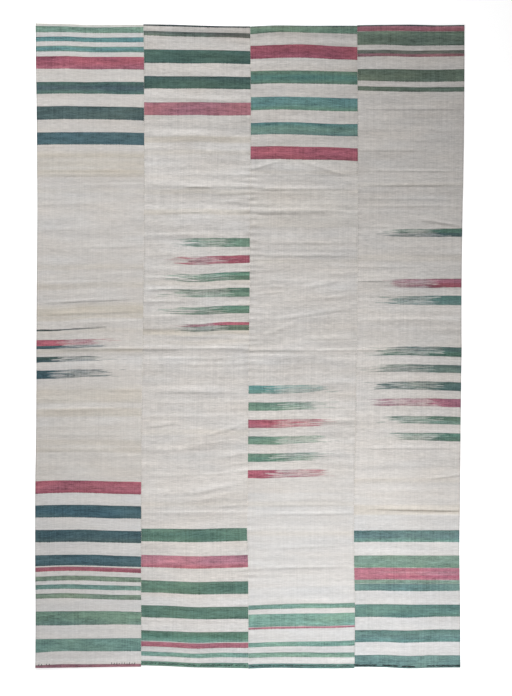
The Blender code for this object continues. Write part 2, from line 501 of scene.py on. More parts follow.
def joinVector(x, y, z=0.0):
    return addNode(treeOf(x, y, z), "ShaderNodeCombineXYZ", {0: x, 1: y, 2: z}).outputs[0]


socketKinds = {
    "Geometry": "Geometry", "Seed": "Int", "Material": "Material",
    **dict.fromkeys(("Ground", "Colour", "Tint", "Upper", "Middle", "Lower"), "Color"),
}


def newTree(name, kind, inputs, outputs):
    # a node group, with what its input node gives and what its output node takes
    tree = bpy.data.node_groups.new(name, kind)
    for side, labels in (("INPUT", inputs), ("OUTPUT", outputs)):
        for label in labels.split(", "):
            socketKind = "NodeSocket" + socketKinds.get(label, "Float")
            tree.interface.new_socket(name=label, in_out=side, socket_type=socketKind)
    return tree, tree.nodes.new("NodeGroupInput").outputs, tree.nodes.new("NodeGroupOutput").inputs


def arrange(tree):
    # nodes in columns of ten, so the tree can be read in the editor
    for number, node in enumerate(tree.nodes):
        node.location = (220 * (number // 10), -180 * (number % 10))


def newMaterial(name, roughness, specular):
    # the material, its tree and the inputs of its shader
    material = bpy.data.materials.new(name)
    material.use_nodes = True
    shader = material.node_tree.nodes["Principled BSDF"].inputs
    shader["Roughness"].default_value = roughness
    shader["Specular IOR Level"].default_value = specular
    return material, material.node_tree, shader


def addRelief(shader, height, strength, depth):
    inputs = {"Height": height, "Strength": strength, "Distance": depth}
    feed(shader["Normal"], addNode(treeOf(height), "ShaderNodeBump", inputs).outputs["Normal"])


# shader groups, each used by all four strips

# the woven look, lengths in metres
weave = {
    "bandSoft": 0.006,              # softness of the lines of an undyed band
    "stripeSoft": 0.0009,           # and of a dyed stripe
    "stripeRim": 0.13,              # how much darker its first and last picks are
    # the same span also sets how far the painted shade along the selvedges reaches
    "packed": (0.0065, 0.0015),     # edges beaten closer, from where they darken to where they are darkest
    "lineDrift": 0.0040,            # how far the lines of stripes and bands wander
    "lineWobble": {"Wash": 0.0016, "Strand": 0.0020, "Grain": 0.0030},
    "calmer": (1.95, 2.25),         # below the upper line, where undyed yarn turns more even
    "dyedStrength": 1.24,           # unevenness of dyed yarn
    "roughness": 0.93,
    "specular": 0.12,
    "warpPitch": 0.0032,
    "weftPitch": 0.0016,
    "warpBend": 0.002,
    "weftBend": 0.001,
    "bumpHeight": 0.5,
    "yarnHeight": 0.8,
    "reliefStrength": 0.6,
    "reliefDepth": 0.0005,
}

# noises drawn out along the weft: cells in a metre across and along the cloth, detail, roughness
yarnStreaks = {
    "Fine": (32, 230, 2.0, 0.6),
    "Speckle": (170, 190, 1.0, 0.5),
    "Warps": (150, 5, 1.0, 0.5),
    "Threads": (8, 190, 2.0, 0.5),
    "Broad": (2.2, 40, 3.0, 0.6),
    "Wash": (9, 60, 3.0, 0.6),
    "Drift": (3.5, 14, 2.0, 0.5),
    "Strand": (11, 330, 1.0, 0.5),
}
streakStart = 0.37      # keeps the streaks off the grid lines of the noise

# how a bar frays, lengths in metres, ranges as low and high values of a noise
fraying = {
    "narrower": 0.86,               # its width at the frayed end, as a share
    "ragged": 0.006,                # unevenness of its long sides
    "sideSoft": 0.0008,
    "splitSoft": 0.0012,
    "rim": (0.62, 0.92),            # the darker rim, in shares of the half width
    "rimDark": 0.20,
    "rimWash": (0.40, 0.54),        # where the rim is weak, and where it is whole
    "rimLeast": 0.25,
    "tipThreads": (0.40, 0.63),     # threads that end first, and last
    "tipSpread": 0.26,
    "tipSoft": 0.016,
    "solidThreads": (0.38, 0.62),
    "solidReach": (-0.028, 0.060),
    "solidSpread": 0.16,
    "solidSoft": 0.012,
    "strands": (0.36, 0.60),        # the palest streaks, and the fullest
    "paler": 0.22,
    "fuller": 0.14,
    "heavyThreads": (0.57, 0.62),
    "heavy": 0.22,
    "rimFuller": 0.22,
    "fadesTo": 0.72,                # what is left of the colour at the frayed end
}

# how much each noise lightens and darkens the yarn; pairs are what dye adds, and undyed yarn
yarnSwing = {
    "dyedGrey": (0.48, 0.30),       # undyed above the first grey, dyed below the second
    "fine": (0.34, 0.46),
    "grain": (0.34, 0.32),
    "threads": 0.16,
    "dyedWash": 0.66,
    "dyedDrift": 0.40,
    "hue": (0.14, 0.05),
    "blueShare": -1.2,
}

groups = {}


def newGroup(name, inputs, outputs):
    groups[name], given, result = newTree(name, "ShaderNodeTree", inputs, outputs)
    return given, result


def placeGroup(name, **values):
    # keyword fromTop feeds the input From Top, and so on
    inputs = {}
    for key, value in values.items():
        label = "".join(" " + letter if letter.isupper() else letter for letter in key)
        inputs[label.title()] = value
    return addNode(treeOf(*values.values()), "ShaderNodeGroup", inputs, node_tree=groups[name]).outputs


def buildYarnNoise():
    # the uneven handspun yarn as seven values
    given, result = newGroup(
        "yarnNoise", "Across, From Top, Shift", "Fine, Grain, Threads, Broad, Wash, Drift, Strand")
    noise = {}
    for name, (acrossScale, alongScale, detail, roughness) in yarnStreaks.items():
        u = timesPlus(given["Across"], acrossScale, given["Shift"])
        v = timesPlus(given["From Top"], alongScale, streakStart)
        inputs = {"Vector": joinVector(u, v), "Scale": 1.0, "Detail": detail, "Roughness": roughness}
        noise[name] = addNode(treeOf(u), "ShaderNodeTexNoise", inputs, noise_dimensions="2D").outputs[0]
    noise["Grain"] = timesPlus(noise["Warps"], 0.5, times(noise["Speckle"], 0.5))
    for socket in result:
        if socket.name in noise:
            feed(socket, noise[socket.name])


def spanMask(given):
    # from one line across the cloth to another
    fromTop, soft = given["From Top"], given["Soft"]
    return times(after(fromTop, given["Starts"], soft), before(fromTop, given["Ends"], soft))


def buildUndyedBandAndShade():
    # a band of undyed yarn in another shade; some bands are painted shade and painted light beside the
    # middle fold
    given, result = newGroup("undyedBandAndShade", "Ground, From Top, Starts, Ends, Soft, Tint, Amount", "Colour")
    mask = times(spanMask(given), given["Amount"])
    feed(result["Colour"], blendColour(mask, given["Ground"], given["Tint"]))


def buildWeftStripe():
    # a woven stripe, with three colours down its width
    given, result = newGroup(
        "weftStripe", "Ground, From Top, Starts, Ends, Soft, Upper, Middle, Lower, Rim", "Colour")
    fromTop, starts, ends = given["From Top"], given["Starts"], given["Ends"]
    middle = times(plus(starts, ends), 0.5)
    colour = blendColour(mapValue(fromTop, starts, middle), given["Upper"], given["Middle"])
    colour = blendColour(mapValue(fromTop, middle, ends), colour, given["Lower"])
    # the first and last picks are beaten closer and read a little darker
    fromEdge = calc("MINIMUM", minus(fromTop, starts), minus(ends, fromTop))
    rim = mapValue(fromEdge, *weave["packed"], 0.0, given["Rim"])
    colour = scaleColour(colour, minus(1.0, rim))
    feed(result["Colour"], blendColour(spanMask(given), given["Ground"], colour))


def buildFrayedBar():
    # a bar woven in from one side: full colour first, then paler, then single threads
    labels = "Inward, From Top, Threads, Strand, Wash, Starts, Ends, Solid, Pale, Fray, Split, Depth"
    given, result = newGroup("frayedBar", "Ground, Upper, Lower, " + labels, "Colour")
    inward, fromTop, threads, strand, wash, starts, ends, solid, pale, fray, split, depth = (
        given[label] for label in labels.split(", "))
    half = times(minus(ends, starts), 0.5)
    middle = times(plus(ends, starts), 0.5)
    half = times(half, mapValue(inward, solid, fray, 1.0, fraying["narrower"], "LINEAR"))
    ragged = timesPlus(wash, fraying["ragged"], -fraying["ragged"] / 2)
    distance = calc("ABSOLUTE", minus(plus(fromTop, ragged), middle))
    band = before(distance, half, fraying["sideSoft"])
    rim = mapValue(wash, *fraying["rimWash"], fraying["rimLeast"], 1.0)
    rim = times(mapValue(over(distance, half), *fraying["rim"]), rim)
    # each thread has its own reach
    reach = mapValue(threads, *fraying["tipThreads"], pale, fray, "LINEAR")
    reach = timesPlus(minus(strand, 0.5), fraying["tipSpread"], reach)
    tip = before(inward, reach, fraying["tipSoft"])
    # the full colour ends thread by thread as well
    reach = mapValue(threads, *fraying["solidThreads"], *fraying["solidReach"], "LINEAR")
    reach = timesPlus(minus(strand, 0.5), fraying["solidSpread"], reach)
    full = before(inward, plus(solid, reach), fraying["solidSoft"])
    streakRange = (minus(depth, fraying["paler"]), plus(depth, fraying["fuller"]))
    streaks = mapValue(strand, *fraying["strands"], *streakRange)
    streaks = timesPlus(mapValue(threads, *fraying["heavyThreads"]), fraying["heavy"], streaks)
    streaks = timesPlus(rim, fraying["rimFuller"], streaks)
    streaks = times(streaks, mapValue(inward, pale, fray, 1.0, fraying["fadesTo"]))
    tint = calc("MAXIMUM", full, streaks, clamp=True)
    colour = blendColour(after(fromTop, split, fraying["splitSoft"]), given["Upper"], given["Lower"])
    colour = scaleColour(colour, timesPlus(rim, -fraying["rimDark"], 1.0))
    mask = times(times(band, tip), tint, clamp=True)
    feed(result["Colour"], blendColour(mask, given["Ground"], colour))


def buildDyeMarkAndShade():
    # a soft short line or patch in the cloth, such as a darker weft thread or stronger dye; also used for
    # painted shade along creases and painted light over wide patches
    labels = "Ground, Across, From Top, At, Down, Half Length, Half Width, Rise, Tint, Amount"
    given, result = newGroup("dyeMarkAndShade", labels, "Colour")
    dx = minus(given["Across"], given["At"])
    line = timesPlus(dx, given["Rise"], minus(given["From Top"], given["Down"]))
    wide = over(calc("ABSOLUTE", line), given["Half Width"])
    long = over(calc("ABSOLUTE", dx), given["Half Length"])
    mask = times(mapValue(wide, 1.0, 0.1), mapValue(long, 1.0, 0.5))
    marked = blendColour(1.0, given["Ground"], given["Tint"], "MULTIPLY")
    feed(result["Colour"], blendColour(times(mask, given["Amount"]), given["Ground"], marked))


def buildYarnShade():
    # lighter and darker yarns, warmer and cooler patches, more of both where the wool is dyed
    labels = "Colour, Fine, Grain, Threads, Broad, Wash, Drift, Strength, Dyed Strength, Banding"
    given, result = newGroup("yarnShade", labels, "Colour")
    grey = addNode(treeOf(given["Colour"]), "ShaderNodeRGBToBW", {0: given["Colour"]}).outputs[0]
    dyed = mapValue(grey, *yarnSwing["dyedGrey"])
    swing = times(minus(given["Fine"], 0.5), timesPlus(dyed, *yarnSwing["fine"]))
    swing = timesPlus(minus(given["Grain"], 0.5), timesPlus(dyed, *yarnSwing["grain"]), swing)
    swing = timesPlus(minus(given["Broad"], 0.5), given["Banding"], swing)
    swing = timesPlus(minus(given["Threads"], 0.5), yarnSwing["threads"], swing)
    swing = timesPlus(times(minus(given["Wash"], 0.5), dyed), yarnSwing["dyedWash"], swing)
    drift = minus(given["Drift"], 0.5)
    swing = timesPlus(times(drift, dyed), yarnSwing["dyedDrift"], swing)
    strength = mapValue(dyed, 0.0, 1.0, given["Strength"], given["Dyed Strength"], "LINEAR")
    colour = scaleColour(given["Colour"], timesPlus(swing, strength, 1.0))
    hue = times(drift, timesPlus(dyed, *yarnSwing["hue"]))
    tint = joinVector(plus(1.0, hue), 1.0, timesPlus(hue, yarnSwing["blueShare"], 1.0))
    feed(result["Colour"], blendColour(1.0, colour, tint, "MULTIPLY"))


def buildWeaveRelief():
    # weft-faced plain weave: rows of small bumps over the warps, offset from row to row
    given, result = newGroup("weaveRelief", "Across, From Top, Fine, Warp Pitch, Weft Pitch", "Height")
    warps = timesPlus(given["Fine"], weave["warpBend"], given["Across"])
    wefts = timesPlus(given["Fine"], weave["weftBend"], given["From Top"])
    warps = over(times(warps, math.pi), given["Warp Pitch"])
    wefts = over(times(wefts, math.pi), given["Weft Pitch"])
    bumps = times(calc("SINE", warps), calc("SINE", wefts))
    yarn = times(given["Fine"], weave["yarnHeight"])
    feed(result["Height"], timesPlus(bumps, weave["bumpHeight"], yarn))


for build in (
        buildYarnNoise, buildUndyedBandAndShade, buildWeftStripe, buildFrayedBar, buildDyeMarkAndShade, buildYarnShade,
        buildWeaveRelief):
    build()
for tree in groups.values():
    arrange(tree)
print("shader groups ready:", ", ".join(groups))

# each list of a strip, with its group and the inputs that its columns feed
patternGroups = {
    "bands": ("undyedBandAndShade", ("starts", "ends", "tint", "amount")),
    "stripes": ("weftStripe", ("starts", "ends", "upper", "middle", "lower")),
    "bars": ("frayedBar", ("starts", "ends", "upper", "lower", "split", "solid", "pale", "fray", "depth")),
    "marks": ("dyeMarkAndShade", ("at", "down", "halfLength", "halfWidth", "rise", "tint", "amount")),
}
lengthColumns = ("starts", "ends", "split", "solid", "pale", "fray", "at", "down", "halfLength", "halfWidth")


def patternValues(columns, row):
    # a row's millimetres as metres, its dyes and greys as colours; one dye stands for all that follow
    row = list(row) + [row[-1]] * (len(columns) - len(row))
    values = dict(zip(columns, row))
    for column, value in values.items():
        if column in lengthColumns:
            values[column] = value * mm
        elif isinstance(value, str):
            values[column] = linearColour(value)
        elif column == "tint":
            values[column] = (*value, 1.0) if isinstance(value, tuple) else (value, value, value, 1.0)
    return values


def panelMaterial(name, panel):
    material, tree, shader = newMaterial(name + "Wool", weave["roughness"], weave["specular"])
    spot = addNode(tree, "ShaderNodeAttribute", {}, attribute_name="clothPlace").outputs["Vector"]
    across, fromTop, _ = addNode(tree, "ShaderNodeSeparateXYZ", {0: spot}).outputs
    sides = {"left": across, "right": minus(cloth["stripWidth"], across)}
    yarn = placeGroup("yarnNoise", across=across, fromTop=fromTop, shift=panel["shift"])

    # the stripes' lines wobble a little with the beating of the weft
    line = plus(fromTop, timesPlus(yarn["Drift"], weave["lineDrift"], -weave["lineDrift"] / 2))
    for label, amount in weave["lineWobble"].items():
        line = timesPlus(yarn[label], amount, line)
    line = minus(line, sum(weave["lineWobble"].values()) / 2)

    sources = {
        "bands": {"fromTop": line, "soft": weave["bandSoft"]},
        "stripes": {"fromTop": line, "soft": weave["stripeSoft"], "rim": weave["stripeRim"]},
        "bars": {
            "fromTop": fromTop, "inward": sides[panel["barsFrom"]], "threads": yarn["Threads"],
            "strand": yarn["Strand"], "wash": yarn["Wash"]},
        "marks": {"fromTop": fromTop, "across": across},
    }
    colour = linearColour("undyed")
    for kind, (group, columns) in patternGroups.items():
        for row in panel[kind]:
            values = patternValues(columns, row)
            colour = placeGroup(group, ground=colour, **sources[kind], **values)["Colour"]
    # the selvedges read darker: partly yarn packed tighter, partly painted shade, strongest along the rug's
    # two outer edges
    for edge, amount in panel["selvedgeAndShade"]:
        dark = mapValue(sides[edge], *weave["packed"])
        colour = scaleColour(colour, timesPlus(dark, -amount, 1.0))
    # the undyed yarn is more even towards the lower end
    evener = panel["unevenness"] * panel["lowerShare"]
    strength = mapValue(fromTop, *weave["calmer"], panel["unevenness"], evener)
    shares = {label.lower(): yarn[label] for label in ("Fine", "Grain", "Threads", "Broad", "Wash", "Drift")}
    colour = placeGroup(
        "yarnShade", colour=colour, **shares, strength=strength, dyedStrength=weave["dyedStrength"],
        banding=panel["banding"])["Colour"]
    feed(shader["Base Color"], colour)
    height = placeGroup(
        "weaveRelief", across=across, fromTop=fromTop, fine=yarn["Fine"], warpPitch=weave["warpPitch"],
        weftPitch=weave["weftPitch"])["Height"]
    addRelief(shader, height, weave["reliefStrength"], weave["reliefDepth"])
    arrange(tree)
    return material


# the four strips
# sag: along, then how far the weft lines rise at 0, 1/4, 1/2, 3/4 and 1 of the width, in millimetres
# bands: from, to, dye, amount (undyed wool of another shade; the bands just above and below the middle fold
# are painted shade and painted light)
# stripes: from, to, upper, middle and lower dye, where the last one named goes on to the end
# bars: from, to, upper and lower dye, where they change, reach of the solid, pale and frayed parts, depth
# marks: across, down, half length, half width, rise, grey or tint, amount; dark lines along creases are
# painted shade, wide lighter patches painted light

panelOne = {
    "number": 0,
    "topEnd": 1.512,
    "lowEnd": -1.511,
    "shift": 3.1,
    "unevenness": 0.84,
    "lowerShare": 0.95,
    "banding": 0.30,
    "sag": (
        (1.512, 5, 2, -2, -2, -1), (1.452, 1, 3, -2, -2, -1), (1.358, 2, 3, -1, -1, -3),
        (1.240, 0, 0, -1, 1, -1), (1.128, 0, 2, 1, -2, -5), (1.005, -1, 1, 1, 0, -3),
        (0.498, 0, 0, 0, 0, 0), (0.075, -6, -4, 6, 8, 6), (0.004, -5, -2, 2, 3, 2),
        (-0.137, -5, -1, 4, 4, 2), (-0.395, 0, 0, 0, 0, 0), (-0.635, -2, 3, 2, -2, -4),
        (-0.865, 1, 2, 2, -2, -4), (-1.082, -2, 3, 2, -2, -6), (-1.166, 1, 4, 1, -3, -5),
        (-1.246, -1, 1, 1, 0, -3), (-1.373, -3, -2, 0, 1, 2), (-1.495, -6, 0, 0, 1, 2),
        (-1.511, -3, -2, 0, 2, 3),
    ),
    # painted shade: ash 1440 to 1505, on the middle fold's upper flank; painted light: undyedLight 1555 to
    # 1624, on its lower flank, and partly 1780 to 1885, over the crease near 1806
    "bands": (
        (-20, 140, "chalk", 0.45), (380, 560, "ash", 0.07), (740, 1120, "undyedLight", 0.12),
        (610, 680, "ash", 0.08), (1440, 1505, "ash", 0.08), (1555, 1598, "undyedLight", 0.90),
        (1598, 1624, "undyedLight", 0.35), (1690, 2120, "tan", 0.07), (2190, 2990, "chalk", 0.35),
        (-20, 8, "cream", 0.5), (590, 714, "tan", 0.20), (604, 622, "tan", 0.20), (640, 664, "tan", 0.12),
        (680, 698, "tan", 0.20), (765, 789, "tan", 0.10), (1125, 1150, "tan", 0.14),
        (1214, 1240, "tan", 0.16), (1312, 1386, "tan", 0.20), (1328, 1364, "tan", 0.24),
        (1372, 1384, "tan", 0.15), (1432, 1450, "tan", 0.10), (1520, 1540, "tan", 0.20),
        (1712, 1775, "tan", 0.18), (1780, 1885, "undyedLight", 0.35), (1802, 1840, "tan", 0.26),
        (1950, 1975, "tan", 0.14), (1985, 2008, "tan", 0.14), (2543, 2547, "cream", 0.7),
    ),
    "stripes": (
        (8, 35, "sage"), (56, 79, "lagoon"), (100, 126, "sea", "lagoon", "sea"),
        (148, 207, "madderDeep", "madder", "madderSoft"), (267, 323, "forest", "slateBlue", "pineSoft"),
        (382, 444, "slateDeep"), (504, 562, "indigo"), (2143, 2201, "madder", "coral", "madderDeep"),
        (2257, 2316, "indigoNight", "indigoBright", "indigoDeep"),
        (2374, 2431, "indigoNight", "indigoDeep", "slateDeep"),
        (2491, 2542, "indigoDeep", "indigo", "indigoDeep"),
        (2548, 2569, "madderSoft", "wine", "madderDeep"), (2591, 2613, "moss"), (2631, 2653, "sea"),
        (2674, 2697, "moss"), (2755, 2819, "leaf", "leaf", "reed"), (2883, 2943, "sea"),
        (3003, 3060, "rosewood", "madderSoft", "rosewood"),
    ),
    "barsFrom": "left",
    "bars": (
        (1425, 1433, "ink", "ink", 1429, 93, 210, 304, 0.70),
        (1476, 1518, "madder", "indigoDeep", 1504, 130, 280, 360, 0.47),
        (1556, 1581, "inkGreen", "indigoDeep", 1572, 100, 280, 350, 0.51),
        (1619, 1659, "indigoDeep", "indigoDeep", 1640, 93, 280, 379, 0.51),
    ),
    # painted shade: all three marks are dark lines along creases, at 703, 1299 and 1531
    "marks": (
        (250, 1299, 280, 3, 0.043, 0.82, 0.9), (250, 703, 260, 4, 0.0, 0.9, 0.7),
        (290, 1531, 270, 7, 0.0, (0.80, 0.80, 0.79), 0.9),
    ),
    # the left edge is the rug's outer edge, darkened partly by painted shade
    "selvedgeAndShade": (("left", 0.20), ("right", 0.02)),
}

panelTwo = {
    "number": 1,
    "topEnd": 1.507,
    "lowEnd": -1.509,
    "shift": 8.7,
    "unevenness": 1.08,
    "lowerShare": 0.90,
    "banding": 0.44,
    "sag": (
        (1.507, 5, 3, -1, -4, -5), (1.474, 7, 3, 0, -3, -7), (1.391, 3, 2, 0, -1, -5),
        (1.266, 3, 1, 0, 0, -3), (1.144, 1, 0, 1, -1, -1), (0.484, 0, 0, 0, 0, 0), (0.380, 0, -2, -6, 0, 4),
        (0.305, 0, -3, -7, 1, 5), (0.250, 0, -1, -3, 0, 2), (0.170, 0, -2, -5, 1, 4),
        (0.089, 0, -2, -5, 3, 4), (-0.160, 0, 0, 0, 0, 0), (-0.859, 0, -1, -2, 2, 3),
        (-0.986, 4, 0, -4, -1, 4), (-1.105, 6, 1, -4, -1, 1), (-1.223, 6, 3, -4, -3, -2),
        (-1.340, 7, 2, -3, -2, 0), (-1.439, 7, 2, -5, -1, -2), (-1.486, 8, 3, -4, -2, -3),
        (-1.509, 8, 4, -2, -4, -7),
    ),
    # painted shade: ash 1400 to 1480, on the middle fold's upper flank; painted light: undyedLight 1555 to
    # 1620, on its lower flank
    "bands": (
        (-40, 110, "ash", 0.09), (470, 1330, "undyedLight", 0.28), (275, 345, "undyedLight", 0.45),
        (465, 515, "ash", 0.08), (1400, 1480, "ash", 0.13), (1555, 1594, "undyedLight", 0.62),
        (1594, 1620, "undyedLight", 0.20), (2690, 2860, "chalk", 0.30), (2860, 3060, "fog", 0.45),
        (524, 552, "tan", 0.30), (587, 610, "tan", 0.14), (728, 748, "undyedLight", 0.5),
        (772, 796, "tan", 0.18), (866, 892, "tan", 0.22), (1198, 1222, "tan", 0.14),
        (1430, 1456, "tan", 0.30), (1480, 1500, "tan", 0.12), (1900, 1925, "tan", 0.12),
        (2240, 2260, "tan", 0.12),
    ),
    "stripes": (
        (-40, 9, "ink"), (33, 55, "charcoal", "charcoal", "olive"), (117, 180, "forest", "forestDeep"),
        (241, 300, "inkGreen", "forestDeep"), (363, 424, "rose"), (2366, 2428, "fern", "pine"),
        (2493, 2551, "pink", "pink", "coral"), (2614, 2672, "fern", "pine", "fern"),
        (2731, 2789, "fern", "pine"), (2850, 2899, "fern", "jade", "aqua"),
        (2902, 2926, "rose", "madderSoft"), (2949, 2970, "aqua"),
        (2994, 3060, "emerald", "emerald", "fern"),
    ),
    "barsFrom": "right",
    "bars": (
        (1000, 1043, "leaf", "leaf", 1022, 119, 275, 340, 0.62),
        (1084, 1122, "madder", "madder", 1100, 119, 294, 347, 0.59),
        (1163, 1202, "emerald", "fern", 1182, 107, 268, 390, 0.75),
        (1237, 1278, "fern", "leaf", 1255, 107, 298, 406, 0.56),
        (1320, 1358, "emerald", "fern", 1338, 126, 271, 393, 0.68),
        (1399, 1438, "madder", "olive", 1413, 131, 291, 324, 0.57),
    ),
    # painted shade: the dark lines at 1526 and 768 follow creases
    "marks": (
        (90, 1526, 170, 3, 0.0, 0.88, 0.8), (258, 768, 75, 5, 0.0, (0.76, 0.75, 0.73), 0.8),
        # painted light: the wide lighter patch at 2350
        (450, 46, 180, 18, 0.0, (0.74, 0.62, 0.67), 0.9), (90, 2350, 170, 900, 0.0, 1.035, 0.9),
    ),
    "selvedgeAndShade": (("left", 0.04), ("right", 0.03)),
}

panelThree = {
    "number": 2,
    "topEnd": 1.505,
    "lowEnd": -1.515,
    "shift": 14.9,
    "unevenness": 1.10,
    "lowerShare": 0.68,
    "banding": 0.46,
    "sag": (
        (1.505, -4, 1, 0, 0, 0), (1.471, -6, 4, 1, -1, -4), (1.411, -2, 3, 5, -2, -8),
        (1.291, -2, 2, 2, -1, -4), (1.168, 0, 3, 1, -2, -5), (1.047, 0, 4, 2, -4, -5),
        (0.935, 2, 3, 0, -2, -7), (0.450, 0, 0, 0, 0, 0), (-0.184, -1, -1, 3, 4, 4),
        (-0.620, -1, -1, 3, 4, 4), (-0.910, 0, 0, 0, 0, 0), (-1.212, -7, -2, 2, 2, 5),
        (-1.259, -5, -1, 1, 1, 4), (-1.390, -6, -2, 1, 2, 7), (-1.440, -4, 0, 1, 0, 1),
        (-1.515, -2, 2, 0, -1, 0),
    ),
    # painted shade: ash 1430 to 1505, on the middle fold's upper flank; painted light: undyedLight 1555 to
    # 1592, on its lower flank
    "bands": (
        (-40, 110, "ash", 0.09), (640, 1000, "undyedLight", 0.30), (770, 950, "tan", 0.11),
        (1290, 1390, "undyedLight", 0.20), (1430, 1505, "ash", 0.15), (1555, 1592, "undyedLight", 0.55),
        (2200, 2700, "chalk", 0.25), (2640, 3060, "chalk", 0.30), (2820, 3060, "fog", 0.30),
        (684, 700, "tan", 0.10), (1100, 1120, "tan", 0.10), (2240, 2262, "tan", 0.14),
        (2380, 2400, "tan", 0.12),
    ),
    "stripes": (
        (-40, 7, "forestDeep"), (7, 37, "moss", "leaf"), (96, 157, "madderDeep", "madderDeep", "madder"),
        (216, 276, "fern", "viridian", "fern"), (339, 401, "teal", "teal", "emerald"),
        (460, 517, "tealCool", "sea", "tealGrey"), (572, 633, "madder", "madder", "garnet"),
        (2720, 2742, "sage", "aqua", "sage"), (2766, 2825, "aqua"),
        (2827, 2836, "rose", "pinkLight", "rose"), (2898, 2920, "aqua"), (2948, 2971, "sage"),
        (3001, 3060, "tealDark"),
    ),
    "barsFrom": "left",
    "bars": (
        (1693, 1732, "tealBright", "tealDeep", 1714, 117, 310, 373, 0.46),
        (1772, 1811, "leaf", "leaf", 1790, 145, 310, 392, 0.58),
        (1853, 1892, "madder", "madderSoft", 1875, 140, 310, 373, 0.58),
        (1932, 1970, "leaf", "leaf", 1950, 151, 307, 367, 0.50),
        (2012, 2051, "leaf", "emerald", 2030, 140, 305, 367, 0.55),
        (2090, 2128, "madder", "madder", 2110, 125, 335, 370, 0.40),
    ),
    # painted shade: both marks are dark lines along creases, at 1531 and 1088
    "marks": (
        (80, 1531, 190, 3, 0.0, 0.84, 0.9), (250, 1088, 240, 3, 0.0, 0.94, 0.8),
    ),
    "selvedgeAndShade": (("left", 0.03), ("right", 0.03)),
}

panelFour = {
    "number": 3,
    "topEnd": 1.508,
    "lowEnd": -1.512,
    "shift": 21.3,
    "unevenness": 1.08,
    "lowerShare": 0.80,
    "banding": 0.34,
    "sag": (
        (1.508, -1, 1, 2, -1, 1), (1.391, 0, 2, -2, -1, 1), (1.302, 1, 1, -1, -2, 1),
        (1.212, 3, 0, -2, -2, -1), (0.920, 0, 0, 0, 0, 0), (0.200, 0, 0, 0, 0, 0), (0.000, 0, 2, 3, 1, -2),
        (-0.443, 0, 2, 3, 1, -2), (-0.820, 0, 0, 0, 0, 0), (-1.213, 0, 1, -1, 0, 0),
        (-1.336, 0, 0, -3, 2, 2), (-1.453, 1, 2, -3, 0, 0), (-1.512, 3, 2, -4, -1, 0),
    ),
    "bands": (
        # painted shade: ash 1435 to 1508, on the middle fold's upper flank; painted light: undyedLight 1535
        # to 1610, on its lower flank
        (-40, 110, "ash", 0.05), (720, 1300, "undyedLight", 0.15), (1285, 1390, "undyedLight", 0.35),
        (1435, 1508, "ash", 0.13), (1535, 1610, "undyedLight", 0.50), (2300, 2640, "chalk", 0.35),
        (2600, 3060, "fog", 0.45), (2860, 3060, "chalk", 0.40), (2255, 2302, "tan", 0.22),
        (1080, 1110, "tan", 0.10), (2130, 2150, "tan", 0.12), (740, 760, "tan", 0.10),
    ),
    "stripes": (
        (-40, 6, "ink"), (6, 29, "pink", "rose"), (30, 94, "moss", "olive"), (118, 134, "umber"),
        (134, 148, "rosewood"), (207, 264, "oliveDeep", "oliveDeep", "olive"), (289, 311, "olive"),
        (2374, 2429, "tealGrey", "tealMist", "aqua"), (2493, 2550, "sageGrey", "sageGrey", "leaf"),
        (2551, 2607, "rosePink"), (2608, 2625, "sageGrey"), (2626, 2659, "tealGrey"),
        (2723, 2782, "tealMoss"), (2843, 2900, "pineSoft", "tealGrey", "tealDeep"),
        (2962, 3060, "tealGrey", "tealGrey", "slate"),
    ),
    "barsFrom": "right",
    "bars": (
        (957, 995, "pine", "slate", 977, 95, 290, 367, 0.60),
        (1192, 1234, "mauve", "garnet", 1213, 134, 308, 366, 0.55),
        (1272, 1315, "tealMoss", "tealGrey", 1294, 134, 314, 393, 0.54),
        (1513, 1557, "spruce", "pine", 1535, 130, 327, 447, 0.64),
        (1597, 1634, "lichen", "lichen", 1615, 160, 365, 435, 0.60),
        (1677, 1717, "spruce", "spruce", 1700, 125, 333, 422, 0.68),
        (1756, 1794, "mauve", "mauve", 1770, 111, 358, 438, 0.52),
        (1839, 1876, "fern", "reed", 1860, 140, 289, 368, 0.60),
        (1917, 1955, "emerald", "fern", 1935, 117, 289, 327, 0.53),
    ),
    # painted shade: the dark lines at 398, 592, 690, 757, 1206, 1531, 1993 and 2281 follow creases
    "marks": (
        (250, 398, 270, 3, 0.0, 0.85, 0.8), (150, 592, 200, 3, 0.0, 0.87, 0.8),
        (250, 690, 270, 3, 0.0, 0.87, 0.8), (270, 757, 260, 3, 0.0, 0.87, 0.8),
        (60, 1206, 100, 3, 0.0, 0.76, 0.9), (60, 1531, 90, 3, 0.0, 0.84, 0.8),
        (250, 1993, 280, 3, 0.0, 0.84, 0.8), (290, 2281, 260, 4, -0.02, (0.66, 0.64, 0.60), 0.9),
        # painted light: the wide lighter patch at 2150
        (110, 2150, 200, 1400, 0.0, 1.045, 0.9), (250, 2562, 300, 4, 0.0, (1.0, 0.90, 0.94), 0.8),
        (320, 2572, 260, 7, 0.0, (1.10, 1.38, 1.30), 0.9), (340, 2592, 300, 7, 0.0, (1.0, 0.75, 0.85), 0.9),
        (400, 2582, 140, 3, 0.0, (1.10, 1.40, 1.32), 0.9),
        (492, 3012, 16, 16, 0.0, (0.55, 0.60, 0.60), 0.8),
        (250, 3014, 260, 7, 0.0, (0.80, 0.84, 0.84), 0.8),
    ),
    # the right edge is the rug's outer edge, darkened partly by painted shade
    "selvedgeAndShade": (("left", 0.05), ("right", 0.24)),
}

panels = {"stripOne": panelOne, "stripTwo": panelTwo, "stripThree": panelThree, "stripFour": panelFour}
panelPieces = []
for name, panel in panels.items():
    piece = makePanel(name, panel)
    piece.data.materials.append(panelMaterial(name, panel))
    panelPieces.append(piece)
print("strips woven:", len(panelPieces))


# sewing, made along a path by Geometry Nodes

